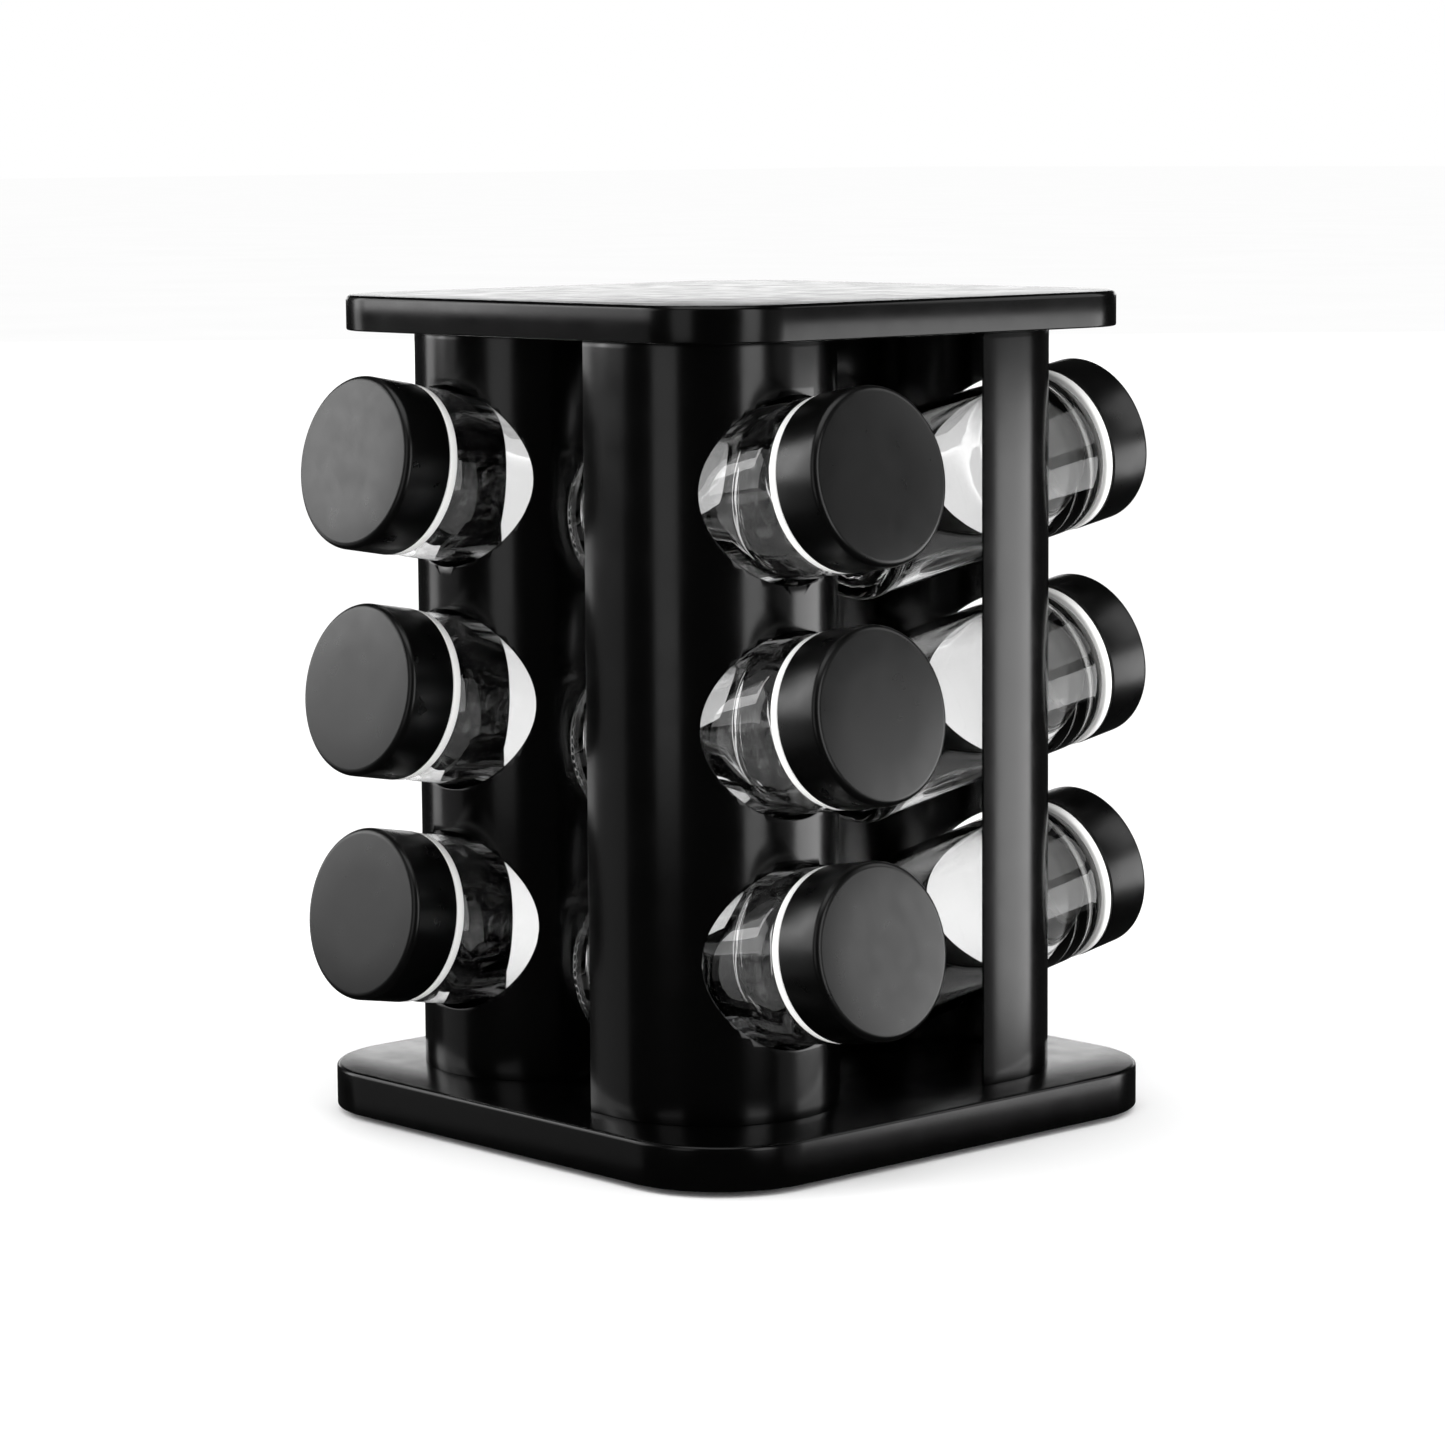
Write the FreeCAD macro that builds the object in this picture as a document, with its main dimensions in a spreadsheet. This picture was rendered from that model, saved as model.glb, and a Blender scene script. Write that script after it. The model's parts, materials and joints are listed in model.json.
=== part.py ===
"""Spice carousel: a revolving stand of bent steel columns that hold tilted spice jars.

Millimetres. +Z is up, the origin is on the floor under the middle of the base, and the
column called front points its rounded nose along +X.
"""
import FreeCAD, Part
import math
import os

import Sketcher

SIZES = {
    "base_side": 179.4, "base_corner": 31.4, "base_height": 12.0, "base_wall": 2.4,
    "floor_gap": 1.6, "base_edge": 1.2,
    "top_side": 167.4, "top_corner": 26.2, "top_height": 9.8, "top_wall": 2.2, "top_edge": 1.4,
    "deck_inset": 2.5, "deck_thick": 2.4, "deck_recess": 0.4,
    "overall_height": 231.6,
    "column_offset": 40.9, "nose_centre": 36.0, "nose_radius": 34.4, "sheet_thick": 0.8,
    "leg_end": 24.1, "hole_radius": 25.2, "row_first": 57.6, "row_pitch": 62.2,
    "tab_width": 7.0, "tab_start": 26.0, "tab_fold": 4.0, "tab_sunk": 0.2,
    "slot_play": 0.4, "slot_tight": 0.1,
    "rest_start": 25.5, "rest_width": 9.0, "rest_reach": 15.0, "rest_drop": 34.5,
    "window_margin": 1.0,
    "jar_tilt": 10.0, "jar_set_back": 68.2,
    "glass_radius": 23.5, "glass_wall": 2.3, "glass_floor": 4.5, "heel_radius": 2.6,
    "punt_radius": 16.5, "punt_depth": 1.2, "shoulder_start": 77.0, "shoulder_radius": 22.3,
    "bore_end": 76.0, "glass_shoulder": 82.4, "neck_radius": 20.6, "neck_bore": 18.2,
    "glass_length": 96.6, "neck_play": 0.2,
    "collar_radius": 23.6, "collar_start": 82.7, "collar_end": 85.4, "sleeve_radius": 21.6,
    "insert_top": 98.0, "insert_skin": 1.1, "plug_radius": 17.9, "plug_wall": 0.9,
    "plug_depth": 3.5,
    "cap_radius": 23.8, "cap_start": 85.7, "cap_end": 100.5, "cap_wall": 1.6, "cap_edge": 2.0,
    "foot_radius": 58.0, "foot_base": 1.4, "foot_plate": 2.6, "foot_hub": 8.0,
    "foot_hub_top": 8.6, "race_radius": 45.0, "race_half": 4.0, "race_groove": 2.4,
    "ball_radius": 2.0, "ball_height": 6.5, "ball_play": 0.3, "race_lip": 0.7,
    "cage_half": 2.8, "cage_thick": 1.0, "window_play": 0.15, "race_sunk": 0.5,
    "bolt_radius": 2.5, "bolt_play": 0.05, "bolt_head": 4.2, "head_height": 2.4,
    "head_play": 0.4, "head_gap": 0.6, "key_radius": 1.5, "key_depth": 1.2,
    "bolt_top": 20.5, "hub_radius": 7.0, "hub_bottom": 9.0, "washer_radius": 6.0,
    "washer_thick": 1.0, "washer_gap": 0.3, "nut_flats": 8.0, "nut_height": 4.0,
    "pad_radius": 6.0, "pad_height": 2.2, "pad_circle": 49.0, "pad_play": 0.2,
    "screw_radius": 1.5, "screw_head": 3.0, "screw_head_height": 1.8, "screw_reach": 6.4,
    "screw_play": 0.2, "screw_bite": 0.05, "boss_radius": 4.0, "boss_sunk": 0.2,
    "screw_place": 40.0,
}
SIDES = ["front", "right", "back", "left"]
ROWS = ["bottom", "middle", "top"]
BALLS = 16

doc = FreeCAD.newDocument("SpiceCarousel")
sheet = doc.addObject("Spreadsheet::Sheet", "Sizes")
for line, (alias, value) in enumerate(SIZES.items(), start=1):
    sheet.set(f"A{line}", alias)
    sheet.set(f"B{line}", str(value))
    sheet.setAlias(f"B{line}", alias)
doc.recompute()

sub_parts = []


def size(formula):
    """The number that a formula of the sheet's aliases gives."""
    return float(sheet.evalExpression(formula))


def keep(obj, label):
    """Names a finished sub-part, which names its file too."""
    obj.Label = label
    sub_parts.append(obj)
    return obj


# ---------------------------------------------------------------- sketches and bodies

def new_body(name):
    return doc.addObject("PartDesign::Body", "Body_" + name)


def origin_feature(body, role):
    return next(f for f in body.Origin.OriginFeatures if f.Role == role)


def new_sketch(body, name, plane, offset="0"):
    """A sketch on one of the body's own origin planes, raised by offset along its normal."""
    sketch = body.newObject("Sketcher::SketchObject", f"{name}_{body.Name}")
    sketch.AttachmentSupport = [(origin_feature(body, plane), "")]
    sketch.MapMode = "FlatFace"
    sketch.setExpression("AttachmentOffset.Base.z", offset)
    return sketch


def place_point(sketch, line, axis, formula):
    """Ties one coordinate of a line's start to the sheet."""
    other_axis = {"DistanceX": -2, "DistanceY": -1}[axis]
    if formula == "0":
        sketch.addConstraint(Sketcher.Constraint("PointOnObject", line, 1, other_axis))
        return
    index = sketch.addConstraint(Sketcher.Constraint(axis, -1, 1, line, 1, size(formula)))
    sketch.setExpression(f"Constraints[{index}]", formula)


def polygon(sketch, corners):
    """A closed outline whose corners are (x, y) formulas of the sheet's aliases."""
    points = [FreeCAD.Vector(size(x), size(y), 0) for x, y in corners]
    first = sketch.GeometryCount
    count = len(points)
    for i, start in enumerate(points):
        sketch.addGeometry(Part.LineSegment(start, points[(i + 1) % count]), False)
    for i in range(count):
        following = first + (i + 1) % count
        sketch.addConstraint(Sketcher.Constraint("Coincident", first + i, 2, following, 1))
    for i, (x, y) in enumerate(corners):
        place_point(sketch, first + i, "DistanceX", x)
        place_point(sketch, first + i, "DistanceY", y)


def rectangle(sketch, x0, x1, y0, y1):
    polygon(sketch, [(x0, y0), (x1, y0), (x1, y1), (x0, y1)])


def circle(sketch, x, y, radius):
    """A circle whose centre and radius are formulas."""
    centre = FreeCAD.Vector(size(x), size(y), 0)
    outline = Part.Circle(centre, FreeCAD.Vector(0, 0, 1), size(radius))
    index = sketch.addGeometry(outline)
    for axis, formula, other_axis in (("DistanceX", x, -2), ("DistanceY", y, -1)):
        if formula == "0":
            sketch.addConstraint(Sketcher.Constraint("PointOnObject", index, 3, other_axis))
            continue
        tie = sketch.addConstraint(Sketcher.Constraint(axis, -1, 1, index, 3, size(formula)))
        sketch.setExpression(f"Constraints[{tie}]", formula)
    tie = sketch.addConstraint(Sketcher.Constraint("Radius", index, size(radius)))
    sketch.setExpression(f"Constraints[{tie}]", radius)


def pad(body, sketch, length):
    feature = body.newObject("PartDesign::Pad", "Pad_" + sketch.Name)
    feature.Profile = sketch
    feature.setExpression("Length", length)
    doc.recompute()
    return feature


def cut_through(body, sketch):
    """Cuts the sketch through the whole body, both ways."""
    before = body.Shape.Volume
    feature = body.newObject("PartDesign::Pocket", "Pocket_" + sketch.Name)
    feature.Profile = sketch
    feature.Type = "ThroughAll"
    feature.Midplane = True
    doc.recompute()
    assert body.Shape.Volume < before, f"{sketch.Name} cuts nothing"
    return feature


def revolve(body, sketch):
    """Turns the sketch once about its own vertical axis."""
    feature = body.newObject("PartDesign::Revolution", "Turn_" + sketch.Name)
    feature.Profile = sketch
    feature.ReferenceAxis = (sketch, ["V_Axis"])
    feature.Angle = 360
    doc.recompute()
    return feature


def fillet(body, wanted, radius):
    """Rounds the tip's edges that wanted(edge) picks."""
    base = body.Tip
    names = [f"Edge{i}" for i, edge in enumerate(base.Shape.Edges, start=1) if wanted(edge)]
    assert names, f"no edge to round in {body.Name}"
    feature = body.newObject("PartDesign::Fillet", "Round_" + base.Name)
    feature.Base = (base, names)
    feature.setExpression("Radius", radius)
    doc.recompute()
    return feature


def four_times(body, feature):
    """Repeats a feature a quarter turn apart, once for each column."""
    pattern = body.newObject("PartDesign::PolarPattern", "Four_" + feature.Name)
    pattern.Originals = [feature]
    pattern.Axis = (origin_feature(body, "Z_Axis"), [""])
    pattern.Angle = 360
    pattern.Occurrences = len(SIDES)
    body.Tip = pattern
    doc.recompute()
    return pattern


def upright(edge):
    """True for a straight edge along Z."""
    if not isinstance(edge.Curve, Part.Line):
        return False
    return abs(edge.Curve.Direction.z) > 0.999


def level(height):
    """A test for edges that lie flat at one height."""
    def test(edge):
        box = edge.BoundBox
        return abs(box.ZMin - height) < 1e-4 and abs(box.ZMax - height) < 1e-4
    return test


def ring_edge(radius, height):
    """A test for a circle about the Z axis of a turned piece."""
    def test(edge):
        if not isinstance(edge.Curve, Part.Circle):
            return False
        return abs(edge.Curve.Radius - radius) < 1e-4 and level(height)(edge)
    return test


def rounded_slab(body, side, corner, bottom, thick):
    """A square plate with rounded upright corners."""
    sketch = new_sketch(body, "Square", "XY_Plane", bottom)
    rectangle(sketch, f"-{side} / 2", f"{side} / 2", f"-{side} / 2", f"{side} / 2")
    pad(body, sketch, thick)
    fillet(body, upright, corner)


def hollow_from_below(body, wall):
    """Turns a slab into a tray that opens downwards."""
    base = body.Tip
    lowest = min(range(len(base.Shape.Faces)), key=lambda i: base.Shape.Faces[i].CenterOfMass.z)
    shell = body.newObject("PartDesign::Thickness", "Hollow_" + base.Name)
    shell.Base = (base, [f"Face{lowest + 1}"])
    shell.Join = "Intersection"
    shell.Reversed = True
    shell.setExpression("Value", wall)
    before = base.Shape.Volume
    doc.recompute()
    assert body.Shape.Volume < before, f"{body.Name} was not hollowed"


def column_slots(body):
    """Slots that the columns' fixing tabs pass through."""
    sketch = new_sketch(body, "Slots", "XY_Plane")
    along = ("Sizes.tab_start - Sizes.slot_play",
             "Sizes.tab_start + Sizes.tab_width + Sizes.slot_play")
    inside = "(Sizes.nose_radius - Sizes.sheet_thick - Sizes.slot_play)"
    outside = "(Sizes.nose_radius + Sizes.slot_tight)"
    rectangle(sketch, *along, f"-Sizes.column_offset - {outside}",
              f"-Sizes.column_offset - {inside}")
    rectangle(sketch, *along, f"-Sizes.column_offset + {inside}",
              f"-Sizes.column_offset + {outside}")
    half = "(Sizes.tab_width / 2 + Sizes.slot_play)"
    rectangle(sketch, f"Sizes.nose_centre + {inside}", f"Sizes.nose_centre + {outside}",
              f"-Sizes.column_offset - {half}", f"-Sizes.column_offset + {half}")
    four_times(body, cut_through(body, sketch))


# ---------------------------------------------------------------- primitives

def primitive(kind, name, sizes, x="0", y="0", z="0", axis=None, angle=0):
    """A Part primitive whose sizes and place are formulas."""
    obj = doc.addObject("Part::" + kind, name)
    if axis is not None:
        obj.Placement.Rotation = FreeCAD.Rotation(FreeCAD.Vector(*axis), angle)
    for prop, formula in sizes.items():
        obj.setExpression(prop, formula)
    for coordinate, formula in (("x", x), ("y", y), ("z", z)):
        obj.setExpression("Placement.Base." + coordinate, formula)
    return obj


def block(name, x0, x1, y0, y1, z0, z1):
    sizes = {"Length": f"({x1}) - ({x0})", "Width": f"({y1}) - ({y0})",
             "Height": f"({z1}) - ({z0})"}
    return primitive("Box", name, sizes, x0, y0, z0)


def rod(name, radius, z0, z1, x="0", y="0"):
    return primitive("Cylinder", name, {"Radius": radius, "Height": f"({z1}) - ({z0})"}, x, y, z0)


def cut(name, base, tool):
    obj = doc.addObject("Part::Cut", name)
    obj.Base = base
    obj.Tool = tool
    return obj


def join(name, shapes):
    obj = doc.addObject("Part::MultiFuse", name)
    obj.Shapes = shapes
    return obj


def group(name, shapes):
    """Separate solids kept as one node."""
    obj = doc.addObject("Part::Compound", name)
    obj.Links = shapes
    return obj


# ---------------------------------------------------------------- turntable

FLOOR_OF_FOOT = "Sizes.foot_base"
TOP_OF_FOOT = "(Sizes.foot_base + Sizes.foot_plate)"
DECK_TOP = "(Sizes.floor_gap + Sizes.base_height)"
DECK_UNDERSIDE = f"({DECK_TOP} - Sizes.base_wall)"
GROOVE_DEPTH = "(Sizes.ball_radius + Sizes.ball_play)"
RACE_IN = "(Sizes.race_radius - Sizes.race_half)"
RACE_OUT = "(Sizes.race_radius + Sizes.race_half)"
GROOVE_IN = "(Sizes.race_radius - Sizes.race_groove)"
GROOVE_OUT = "(Sizes.race_radius + Sizes.race_groove)"


def foot_disc():
    """The round foot that stays still on the table, with the lower ball race."""
    body = new_body("foot_disc")
    sketch = new_sketch(body, "Profile", "XZ_Plane")
    lip = "Sizes.ball_height - Sizes.race_lip"
    floor = f"Sizes.ball_height - {GROOVE_DEPTH}"
    bore = "Sizes.bolt_radius + 2 * Sizes.bolt_play"
    recess = "Sizes.bolt_head + Sizes.head_play"
    recess_top = f"{FLOOR_OF_FOOT} + Sizes.head_height + Sizes.head_gap"
    polygon(sketch, [
        (recess, FLOOR_OF_FOOT), ("Sizes.foot_radius", FLOOR_OF_FOOT),
        ("Sizes.foot_radius", TOP_OF_FOOT), (RACE_OUT, TOP_OF_FOOT), (RACE_OUT, lip),
        (GROOVE_OUT, lip), (GROOVE_OUT, floor), (GROOVE_IN, floor), (GROOVE_IN, lip),
        (RACE_IN, lip), (RACE_IN, TOP_OF_FOOT), ("Sizes.foot_hub", TOP_OF_FOOT),
        ("Sizes.foot_hub", "Sizes.foot_hub_top"), (bore, "Sizes.foot_hub_top"),
        (bore, recess_top), (recess, recess_top)])
    revolve(body, sketch)
    pockets = new_sketch(body, "Pads", "XY_Plane", "Sizes.pad_height")
    circle(pockets, "Sizes.pad_circle", "0", "Sizes.pad_radius + Sizes.pad_play")
    before = body.Shape.Volume
    pocket = body.newObject("PartDesign::Pocket", "Recess_foot_disc")
    pocket.Profile = pockets
    pocket.setExpression("Length", "Sizes.pad_height")
    doc.recompute()
    assert body.Shape.Volume < before, "the foot's recesses cut nothing"
    four_times(body, pocket)
    keep(body, "foot_disc")


def rubber_feet():
    pads = []
    for i in range(len(SIDES)):
        turn = f"{360 / len(SIDES) * i}"
        pads.append(rod(f"Pad{i}", "Sizes.pad_radius", "0", "Sizes.pad_height",
                        f"Sizes.pad_circle * cos({turn})", f"Sizes.pad_circle * sin({turn})"))
    keep(group("RubberFeet", pads), "rubber_feet")


def pivot():
    """The bolt that the base turns on, with its washer and nut above the deck."""
    head_bottom = f"{FLOOR_OF_FOOT} + Sizes.head_gap"
    head_top = f"({head_bottom} + Sizes.head_height)"
    head = rod("BoltHead", "Sizes.bolt_head", head_bottom, head_top)
    shank = rod("BoltShank", "Sizes.bolt_radius", head_top, "Sizes.bolt_top")
    hexagon = primitive("Prism", "BoltKey", {"Circumradius": "Sizes.key_radius",
                                             "Height": "Sizes.key_depth"}, z=head_bottom)
    keep(cut("PivotBolt", join("BoltBlank", [head, shank]), hexagon), "pivot_bolt")
    washer_bottom = f"{DECK_TOP} + Sizes.washer_gap"
    washer_top = f"({washer_bottom} + Sizes.washer_thick)"
    disc = rod("WasherDisc", "Sizes.washer_radius", washer_bottom, washer_top)
    eye = rod("WasherEye", "Sizes.bolt_radius + 2 * Sizes.bolt_play", washer_bottom, washer_top)
    keep(cut("PivotWasher", disc, eye), "pivot_washer")
    nut_top = f"{washer_top} + Sizes.nut_height"
    corners = primitive("Prism", "NutBlank", {"Circumradius": "Sizes.nut_flats / sqrt(3)",
                                              "Height": "Sizes.nut_height"}, z=washer_top)
    thread = rod("NutThread", "Sizes.bolt_radius", washer_top, nut_top)
    keep(cut("PivotNut", corners, thread), "pivot_nut")


def bearing():
    """A plastic cage with loose steel balls, running between the two races."""
    lowest = "Sizes.ball_height - Sizes.cage_thick / 2"
    highest = "Sizes.ball_height + Sizes.cage_thick / 2"
    outer = rod("CageOuter", "Sizes.race_radius + Sizes.cage_half", lowest, highest)
    inner = rod("CageInner", "Sizes.race_radius - Sizes.cage_half", lowest, highest)
    windows = []
    balls = []
    for i in range(BALLS):
        turn = f"{360 / BALLS * i}"
        x = f"Sizes.race_radius * cos({turn})"
        y = f"Sizes.race_radius * sin({turn})"
        windows.append(rod(f"Window{i}", "Sizes.ball_radius + Sizes.window_play",
                           lowest, highest, x, y))
        balls.append(primitive("Sphere", f"Ball{i}", {"Radius": "Sizes.ball_radius"},
                               x, y, "Sizes.ball_height"))
    ring = cut("CageRing", outer, inner)
    keep(cut("BallCage", ring, join("CageWindows", windows)), "ball_cage")
    keep(group("BearingBalls", balls), "bearing_balls")


def base_shell():
    """The moulded base: a shallow tray, open below, with the hub and the upper ball race."""
    body = new_body("base_shell")
    rounded_slab(body, "Sizes.base_side", "Sizes.base_corner", "Sizes.floor_gap",
                 "Sizes.base_height")
    hollow_from_below(body, "Sizes.base_wall")
    fillet(body, level(size(DECK_TOP)), "Sizes.base_edge")
    sketch = new_sketch(body, "Race", "XZ_Plane")
    lip = "Sizes.ball_height + Sizes.race_lip"
    roof = f"Sizes.ball_height + {GROOVE_DEPTH}"
    sunk = f"{DECK_UNDERSIDE} + Sizes.race_sunk"
    polygon(sketch, [
        (RACE_IN, sunk), (RACE_IN, lip), (GROOVE_IN, lip), (GROOVE_IN, roof),
        (GROOVE_OUT, roof), (GROOVE_OUT, lip), (RACE_OUT, lip), (RACE_OUT, sunk)])
    revolve(body, sketch)
    hub = new_sketch(body, "Hub", "XY_Plane", "Sizes.hub_bottom")
    circle(hub, "0", "0", "Sizes.hub_radius")
    pad(body, hub, f"{sunk} - Sizes.hub_bottom")
    bore = new_sketch(body, "Bore", "XY_Plane")
    circle(bore, "0", "0", "Sizes.bolt_radius + Sizes.bolt_play")
    cut_through(body, bore)
    column_slots(body)
    keep(body, "base_shell")


# ---------------------------------------------------------------- top

TOP_UNDERSIDE = "(Sizes.overall_height - Sizes.top_height)"
TOP_DECK_BOTTOM = f"({TOP_UNDERSIDE} + Sizes.deck_recess)"
TOP_DECK_TOP = f"({TOP_DECK_BOTTOM} + Sizes.deck_thick)"


def top_deck():
    """The plate inside the top that the columns are fixed to."""
    body = new_body("top_deck")
    rounded_slab(body, "(Sizes.top_side - 2 * Sizes.deck_inset)",
                 "Sizes.top_corner - Sizes.deck_inset", TOP_DECK_BOTTOM, "Sizes.deck_thick")
    sketch = new_sketch(body, "ScrewHole", "XY_Plane")
    circle(sketch, "Sizes.screw_place", "-Sizes.column_offset",
           "Sizes.screw_radius + Sizes.screw_play")
    four_times(body, cut_through(body, sketch))
    column_slots(body)
    keep(body, "top_deck")


def top_cover():
    """The moulded lid over the deck, with a boss for each screw."""
    body = new_body("top_cover")
    rounded_slab(body, "Sizes.top_side", "Sizes.top_corner", TOP_UNDERSIDE, "Sizes.top_height")
    hollow_from_below(body, "Sizes.top_wall")
    fillet(body, level(size("Sizes.overall_height")), "Sizes.top_edge")
    sketch = new_sketch(body, "Boss", "XY_Plane", TOP_DECK_TOP)
    circle(sketch, "Sizes.screw_place", "-Sizes.column_offset", "Sizes.boss_radius")
    circle(sketch, "Sizes.screw_place", "-Sizes.column_offset",
           "Sizes.screw_radius + Sizes.screw_bite")
    height = f"Sizes.overall_height - Sizes.top_wall - {TOP_DECK_TOP} + Sizes.boss_sunk"
    four_times(body, pad(body, sketch, height))
    keep(body, "top_cover")


def cover_screws():
    screws = []
    for i in range(len(SIDES)):
        turn = f"{360 / len(SIDES) * i}"
        x = f"Sizes.screw_place * cos({turn}) + Sizes.column_offset * sin({turn})"
        y = f"Sizes.screw_place * sin({turn}) - Sizes.column_offset * cos({turn})"
        head = rod(f"ScrewHead{i}", "Sizes.screw_head",
                   f"{TOP_DECK_BOTTOM} - Sizes.screw_head_height", TOP_DECK_BOTTOM, x, y)
        shank = rod(f"ScrewShank{i}", "Sizes.screw_radius", TOP_DECK_BOTTOM,
                    f"{TOP_DECK_BOTTOM} + Sizes.screw_reach", x, y)
        screws.append(join(f"Screw{i}", [head, shank]))
    keep(group("CoverScrews", screws), "cover_screws")


# ---------------------------------------------------------------- columns

def channel(name, radius, bottom, top):
    """A solid with a half-round nose and a square back, as wide as its nose."""
    sizes = {"Radius": radius, "Height": f"({top}) - ({bottom})", "Angle": "180"}
    nose = primitive("Cylinder", name + "Nose", sizes, "Sizes.nose_centre",
                     "-Sizes.column_offset", bottom, axis=(0, 0, 1), angle=-90)
    back = block(name + "Back", "Sizes.leg_end", "Sizes.nose_centre",
                 f"-Sizes.column_offset - {radius}", f"-Sizes.column_offset + {radius}",
                 bottom, top)
    return join(name, [nose, back])


def fixing_tabs(name, bottom, top, fold_bottom, fold_top):
    """Three tabs at one end of a column, each with its end folded flat against the deck."""
    far = "Sizes.nose_radius"
    near = "(Sizes.nose_radius - Sizes.sheet_thick)"
    folded = f"({near} - Sizes.tab_fold)"
    start = "Sizes.tab_start"
    end = "(Sizes.tab_start + Sizes.tab_width)"
    middle = "Sizes.column_offset"
    half = "Sizes.tab_width / 2"
    nose = "(Sizes.nose_centre - Sizes.tab_sunk)"
    low = f"-{middle} - {half}"
    high = f"-{middle} + {half}"
    return [
        block(name + "A", start, end, f"-{middle} - {far}", f"-{middle} - {near}", bottom, top),
        block(name + "B", start, end, f"-{middle} - {near}", f"-{middle} - {folded}",
              fold_bottom, fold_top),
        block(name + "C", start, end, f"-{middle} + {near}", f"-{middle} + {far}", bottom, top),
        block(name + "D", start, end, f"-{middle} + {folded}", f"-{middle} + {near}",
              fold_bottom, fold_top),
        block(name + "E", f"{nose} + {near}", f"{nose} + {far}", low, high, bottom, top),
        block(name + "F", f"{nose} + {folded}", f"{nose} + {near}", low, high,
              fold_bottom, fold_top),
    ]


def column(index, side):
    """One bent steel sheet with a round hole for each jar.

    Its inner leg has lanced rests that carry the bottoms of the next column's jars.
    """
    tag = "Column" + side.capitalize()
    outer = channel(tag + "Outer", "Sizes.nose_radius", DECK_TOP, TOP_DECK_BOTTOM)
    inner_radius = "(Sizes.nose_radius - Sizes.sheet_thick)"
    inner = channel(tag + "Inner", inner_radius, DECK_TOP, TOP_DECK_BOTTOM)
    holes = []
    rests = []
    leg_inside = f"(-Sizes.column_offset + {inner_radius})"
    leg_outside = "(-Sizes.column_offset + Sizes.nose_radius)"
    rest = ("Sizes.rest_start", "(Sizes.rest_start + Sizes.rest_width)")
    for row in range(len(ROWS)):
        height = f"(Sizes.row_first + {row} * Sizes.row_pitch)"
        holes.append(primitive("Cylinder", f"{tag}Hole{row}",
                               {"Radius": "Sizes.hole_radius", "Height": "2 * Sizes.nose_radius"},
                               "Sizes.nose_centre", "-Sizes.column_offset", height,
                               axis=(0, 1, 0), angle=90))
        top = f"({height} - Sizes.rest_drop)"
        bottom = f"({top} - Sizes.sheet_thick)"
        holes.append(block(f"{tag}Window{row}", *rest, f"{leg_inside} - Sizes.window_margin",
                           f"{leg_outside} + Sizes.window_margin",
                           top, f"{top} + Sizes.rest_reach"))
        rests.append(block(f"{tag}Rest{row}", *rest, leg_inside,
                           f"{leg_outside} + Sizes.rest_reach", bottom, top))
    shell = cut(tag + "Shell", outer, join(tag + "Space", [inner] + holes))
    underside = DECK_UNDERSIDE
    low_tabs = fixing_tabs(tag + "Low", f"{underside} - Sizes.sheet_thick", DECK_TOP,
                           f"{underside} - Sizes.sheet_thick", underside)
    high_tabs = fixing_tabs(tag + "High", TOP_DECK_BOTTOM, f"{TOP_DECK_TOP} + Sizes.sheet_thick",
                            TOP_DECK_TOP, f"{TOP_DECK_TOP} + Sizes.sheet_thick")
    whole = join(tag, [shell] + rests + low_tabs + high_tabs)
    whole.Placement = FreeCAD.Placement(FreeCAD.Vector(), quarter_turn(index))
    keep(whole, "column_" + side)


def quarter_turn(index):
    return FreeCAD.Rotation(FreeCAD.Vector(0, 0, 1), 360 / len(SIDES) * index)


# ---------------------------------------------------------------- jars

def jar_placement(index, row):
    """Puts a jar, modelled upright on its bottom, into its hole."""
    tilt = math.radians(size("Sizes.jar_tilt"))
    back = size("Sizes.jar_set_back")
    nose = size("Sizes.nose_centre + Sizes.nose_radius")
    height = size(f"Sizes.row_first + {row} * Sizes.row_pitch")
    bottom = FreeCAD.Vector(nose - back * math.cos(tilt), -size("Sizes.column_offset"),
                            height - back * math.sin(tilt))
    lean = FreeCAD.Rotation(FreeCAD.Vector(0, 1, 0), 90 - size("Sizes.jar_tilt"))
    turn = FreeCAD.Placement(FreeCAD.Vector(), quarter_turn(index))
    return turn.multiply(FreeCAD.Placement(bottom, lean))


def glass(label):
    """The glass jar with its neck, a thick floor and a pushed-up bottom."""
    body = new_body(label)
    sketch = new_sketch(body, "Profile", "XZ_Plane")
    bore = "Sizes.glass_radius - Sizes.glass_wall"
    polygon(sketch, [
        ("0", "Sizes.punt_depth"), ("Sizes.punt_radius", "Sizes.punt_depth"),
        ("Sizes.punt_radius + Sizes.punt_depth", "0"), ("Sizes.glass_radius", "0"),
        ("Sizes.glass_radius", "Sizes.shoulder_start"),
        ("Sizes.shoulder_radius", "Sizes.glass_shoulder"),
        ("Sizes.neck_radius", "Sizes.glass_shoulder"),
        ("Sizes.neck_radius", "Sizes.glass_length"), ("Sizes.neck_bore", "Sizes.glass_length"),
        ("Sizes.neck_bore", "Sizes.glass_shoulder"), (bore, "Sizes.bore_end"),
        (bore, "Sizes.glass_floor"), ("0", "Sizes.glass_floor")])
    revolve(body, sketch)
    radius = size("Sizes.glass_radius")
    fillet(body, ring_edge(radius, 0), "Sizes.heel_radius")
    fillet(body, ring_edge(size(bore), size("Sizes.glass_floor")), "Sizes.heel_radius")
    fillet(body, ring_edge(radius, size("Sizes.shoulder_start")), "2 * Sizes.heel_radius")
    return keep(body, label)


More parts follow.
